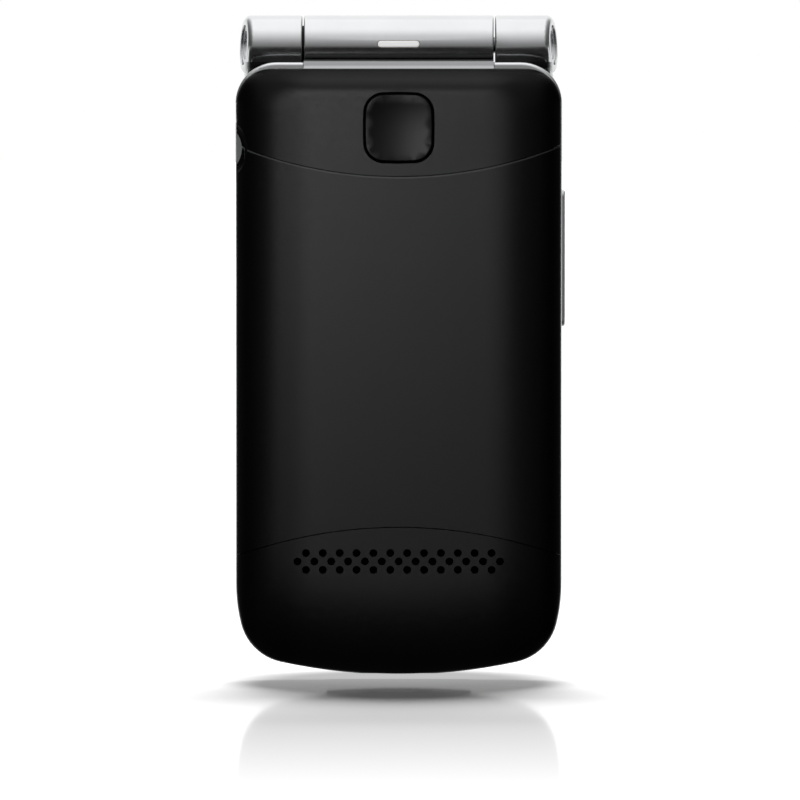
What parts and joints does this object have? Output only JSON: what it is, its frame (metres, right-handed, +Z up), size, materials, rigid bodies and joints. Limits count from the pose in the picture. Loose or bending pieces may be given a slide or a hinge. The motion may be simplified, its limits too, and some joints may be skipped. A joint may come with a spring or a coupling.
{
  "type": "flip phone",
  "caption": "Clamshell mobile phone: slab base with big keys, a lid folding on a barrel hinge, rear assistance button, battery cover and side volume rocker.",
  "frame": {"origin": "under the middle of the closed phone, at the level of its flat foot", "axes": "+Z up along the phone towards the hinge, +Y out of the lid, -Y out of the rear with the battery cover, +X to the side with the volume rocker"},
  "size_m": [0.0501, 0.021, 0.1],
  "materials": {
    "black_shell": "satin black plastic",
    "silver_frame": "polished silver plating on plastic",
    "black_plate": "fine matt black plastic",
    "key_black": "soft-touch black",
    "nav_silver": "satin silver plating",
    "button_black": "gloss black plastic",
    "silver_button": "silver plating on plastic",
    "window": "hard-coated clear window, dark border",
    "display": "dark display panel",
    "board": "green circuit board",
    "moulding": "plain black moulding",
    "steel": "stamped steel",
    "gold_contact": "gold-plated contacts",
    "soft_rubber": "soft black rubber",
    "membrane_rubber": "grey silicone rubber",
    "battery_can": "aluminium can in a dark wrapper",
    "card": "white plastic card",
    "film": "amber film",
    "light": "milky light pipe"
  },
  "bodies": {
    "base": {"rear_housing": "black_shell", "mid_frame": "silver_frame", "keypad_plate": "black_plate", "keypad_membrane": "membrane_rubber", "dome_sheet": "film", "main_board": "board", "shield_cans": "steel", "battery_contacts": "gold_contact", "sim_holder": "steel", "loudspeaker": "moulding", "speaker_mesh": "steel", "vibration_motor": "steel", "usb_socket": "steel", "headset_socket": "moulding", "microphone": "moulding", "assist_switch": "moulding", "side_switch_board": "film", "antenna": "moulding", "base_screws": "steel", "hinge_shaft": "steel", "hinge_cam_follower": "moulding", "flex_bushing": "moulding", "hinge_end_caps": "silver_button"},
    "lid": {"lid_shell": "black_shell", "lid_frame": "silver_frame", "lid_bezel": "black_plate", "display_lens": "window", "main_display": "display", "lid_board": "board", "outer_lens": "window", "outer_display": "display", "earpiece": "moulding", "lid_screws": "steel", "lid_bumpers": "soft_rubber", "hinge_cam": "moulding", "hinge_springs": "steel", "light_pipe": "light", "display_flex": "film"},
    "key_0": {"key_0": "key_black"},
    "key_1": {"key_1": "key_black"},
    "key_2": {"key_2": "key_black"},
    "key_3": {"key_3": "key_black"},
    "key_4": {"key_4": "key_black"},
    "key_5": {"key_5": "key_black"},
    "key_6": {"key_6": "key_black"},
    "key_7": {"key_7": "key_black"},
    "key_8": {"key_8": "key_black"},
    "key_9": {"key_9": "key_black"},
    "key_star": {"key_star": "key_black"},
    "key_hash": {"key_hash": "key_black"},
    "call_key": {"call_key": "key_black"},
    "end_key": {"end_key": "key_black"},
    "soft_key_left": {"soft_key_left": "key_black"},
    "soft_key_right": {"soft_key_right": "key_black"},
    "nav_rocker": {"nav_rocker": "nav_silver"},
    "assist_button": {"assist_button": "button_black"},
    "volume_rocker": {"volume_rocker": "silver_button"},
    "battery_cover": {"battery_cover": "black_shell"},
    "battery": {"battery": "battery_can"},
    "sim_card": {"sim_card": "card"}
  },
  "joints": [
    {"name": "lid_hinge", "type": "hinge", "parent": "base", "child": "lid", "pos_m": [0, 0.00175, 0.0955], "axis": [1, 0, 0], "range_deg": [0, 160]},
    {"name": "key_0_press", "type": "slide", "parent": "base", "child": "key_0", "axis": [0, -1, 0], "range_m": [0, 0.00035], "stiffness_N_per_m": 1500, "springref_m": -0.0002},
    {"name": "key_1_press", "type": "slide", "parent": "base", "child": "key_1", "axis": [0, -1, 0], "range_m": [0, 0.00035], "stiffness_N_per_m": 1500, "springref_m": -0.0002},
    {"name": "key_2_press", "type": "slide", "parent": "base", "child": "key_2", "axis": [0, -1, 0], "range_m": [0, 0.00035], "stiffness_N_per_m": 1500, "springref_m": -0.0002},
    {"name": "key_3_press", "type": "slide", "parent": "base", "child": "key_3", "axis": [0, -1, 0], "range_m": [0, 0.00035], "stiffness_N_per_m": 1500, "springref_m": -0.0002},
    {"name": "key_4_press", "type": "slide", "parent": "base", "child": "key_4", "axis": [0, -1, 0], "range_m": [0, 0.00035], "stiffness_N_per_m": 1500, "springref_m": -0.0002},
    {"name": "key_5_press", "type": "slide", "parent": "base", "child": "key_5", "axis": [0, -1, 0], "range_m": [0, 0.00035], "stiffness_N_per_m": 1500, "springref_m": -0.0002},
    {"name": "key_6_press", "type": "slide", "parent": "base", "child": "key_6", "axis": [0, -1, 0], "range_m": [0, 0.00035], "stiffness_N_per_m": 1500, "springref_m": -0.0002},
    {"name": "key_7_press", "type": "slide", "parent": "base", "child": "key_7", "axis": [0, -1, 0], "range_m": [0, 0.00035], "stiffness_N_per_m": 1500, "springref_m": -0.0002},
    {"name": "key_8_press", "type": "slide", "parent": "base", "child": "key_8", "axis": [0, -1, 0], "range_m": [0, 0.00035], "stiffness_N_per_m": 1500, "springref_m": -0.0002},
    {"name": "key_9_press", "type": "slide", "parent": "base", "child": "key_9", "axis": [0, -1, 0], "range_m": [0, 0.00035], "stiffness_N_per_m": 1500, "springref_m": -0.0002},
    {"name": "key_star_press", "type": "slide", "parent": "base", "child": "key_star", "axis": [0, -1, 0], "range_m": [0, 0.00035], "stiffness_N_per_m": 1500, "springref_m": -0.0002},
    {"name": "key_hash_press", "type": "slide", "parent": "base", "child": "key_hash", "axis": [0, -1, 0], "range_m": [0, 0.00035], "stiffness_N_per_m": 1500, "springref_m": -0.0002},
    {"name": "call_key_press", "type": "slide", "parent": "base", "child": "call_key", "axis": [0, -1, 0], "range_m": [0, 0.00035], "stiffness_N_per_m": 1500, "springref_m": -0.0002},
    {"name": "end_key_press", "type": "slide", "parent": "base", "child": "end_key", "axis": [0, -1, 0], "range_m": [0, 0.00035], "stiffness_N_per_m": 1500, "springref_m": -0.0002},
    {"name": "soft_key_left_press", "type": "slide", "parent": "base", "child": "soft_key_left", "axis": [0, -1, 0], "range_m": [0, 0.00035], "stiffness_N_per_m": 1500, "springref_m": -0.0002},
    {"name": "soft_key_right_press", "type": "slide", "parent": "base", "child": "soft_key_right", "axis": [0, -1, 0], "range_m": [0, 0.00035], "stiffness_N_per_m": 1500, "springref_m": -0.0002},
    {"name": "nav_rock", "type": "hinge", "parent": "base", "child": "nav_rocker", "pos_m": [0, 0, 0.0677], "axis": [1, 0, 0], "range_deg": [-1.2, 1.2], "stiffness_Nm_per_rad": 0.5},
    {"name": "assist_press", "type": "slide", "parent": "base", "child": "assist_button", "axis": [0, 1, 0], "range_m": [0, 0.0004], "stiffness_N_per_m": 1500, "springref_m": -0.0002},
    {"name": "volume_rock", "type": "hinge", "parent": "base", "child": "volume_rocker", "pos_m": [0.0231, -0.0015, 0.06315], "axis": [0, 1, 0], "range_deg": [-1.2, 1.2], "stiffness_Nm_per_rad": 0.5},
    {"name": "cover_off", "type": "slide", "parent": "base", "child": "battery_cover", "axis": [0, -1, 0], "range_m": [0, 0.03]},
    {"name": "battery_out", "type": "slide", "parent": "base", "child": "battery", "axis": [0, -1, 0], "range_m": [0, 0.015]},
    {"name": "sim_out", "type": "slide", "parent": "base", "child": "sim_card", "axis": [0, 0, -1], "range_m": [0, 0.012]}
  ],
  "couplings": [
    {"joint": "battery_out", "follows": "cover_off", "ratio": 0.5}
  ]
}
